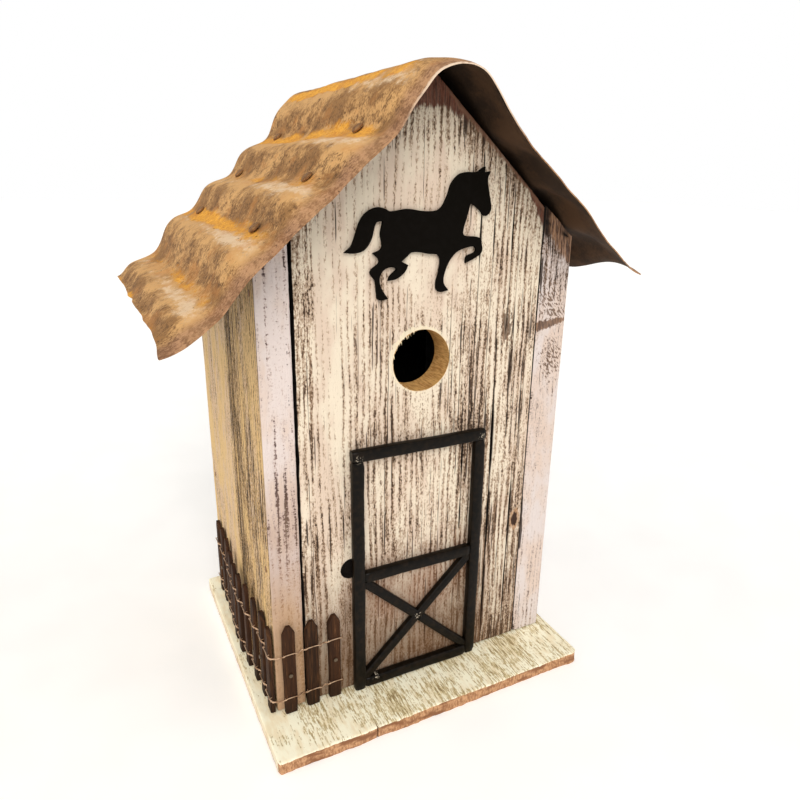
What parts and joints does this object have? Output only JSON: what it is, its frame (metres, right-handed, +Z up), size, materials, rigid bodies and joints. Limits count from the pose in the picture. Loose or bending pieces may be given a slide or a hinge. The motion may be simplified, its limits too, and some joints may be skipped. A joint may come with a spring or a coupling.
{
  "type": "birdhouse",
  "caption": "Gabled birdhouse of whitewashed boards on a flat base, with a bent corrugated metal roof, round entrance hole, barn door trim, horse cut-out and picket fence.",
  "frame": {"origin": "on the ground under the middle of the whole outline, eave to eave and front edge to back edge", "axes": "+Z up, -Y out of the front with the entrance hole, +X to the right seen from the front"},
  "size_m": [0.24, 0.195, 0.3313],
  "materials": {
    "whitewash": "worn whitewash over weathered grain",
    "base_wood": "worn cream paint, raw brown edges",
    "rusty_sheet": "rusted galvanised corrugated sheet",
    "black_paint": "satin black paint",
    "picket_wood": "dark brown stain",
    "copper_wire": "dull copper wire",
    "screw_steel": "dull steel",
    "rusty_nail": "rusted steel"
  },
  "bodies": {
    "house": {"base_board": "base_wood", "front_panel": "whitewash", "back_panel": "whitewash", "left_side_board": "whitewash", "right_side_board": "whitewash", "cleanout_pivot_screw": "screw_steel", "roof_sheet": "rusty_sheet", "door_top_rail": "black_paint", "door_left_stile": "black_paint", "door_right_stile": "black_paint", "door_middle_rail": "black_paint", "door_bottom_rail": "black_paint", "door_brace_rising": "black_paint", "door_brace_falling_upper": "black_paint", "door_brace_falling_lower": "black_paint", "horse_silhouette": "black_paint", "picket_front_1": "picket_wood", "picket_front_2": "picket_wood", "picket_front_3": "picket_wood", "picket_side_1": "picket_wood", "picket_side_2": "picket_wood", "picket_side_3": "picket_wood", "picket_side_4": "picket_wood", "picket_side_5": "picket_wood", "picket_side_6": "picket_wood", "picket_side_7": "picket_wood", "picket_side_8": "picket_wood", "picket_side_9": "picket_wood", "picket_side_10": "picket_wood", "fence_wire_upper": "copper_wire", "fence_wire_lower": "copper_wire", "roof_nail_front_left_1": "rusty_nail", "roof_nail_front_left_2": "rusty_nail", "roof_nail_front_left_3": "rusty_nail", "roof_nail_front_right_1": "rusty_nail", "roof_nail_front_right_2": "rusty_nail", "roof_nail_front_right_3": "rusty_nail", "roof_nail_back_left_1": "rusty_nail", "roof_nail_back_left_2": "rusty_nail", "roof_nail_back_left_3": "rusty_nail", "roof_nail_back_right_1": "rusty_nail", "roof_nail_back_right_2": "rusty_nail", "roof_nail_back_right_3": "rusty_nail", "wall_nail_left_front_low": "rusty_nail", "wall_nail_left_front_high": "rusty_nail", "wall_nail_left_back_low": "rusty_nail", "wall_nail_left_back_high": "rusty_nail", "wall_nail_right_front_low": "rusty_nail", "wall_nail_right_front_high": "rusty_nail", "wall_nail_right_back_low": "rusty_nail", "wall_nail_right_back_high": "rusty_nail", "base_screw_left_front": "screw_steel", "base_screw_left_back": "screw_steel", "base_screw_right_front": "screw_steel", "base_screw_right_back": "screw_steel", "fence_brad_front_right": "screw_steel", "fence_brad_front_left": "screw_steel", "fence_brad_side_near": "screw_steel", "fence_brad_side_far": "screw_steel"},
    "cover": {"cleanout_cover": "whitewash"}
  },
  "joints": [
    {"name": "cleanout_turn", "type": "hinge", "parent": "house", "child": "cover", "pos_m": [0.00995, 0.0804, 0.107], "axis": [0, 1, 0], "continuous": true}
  ]
}
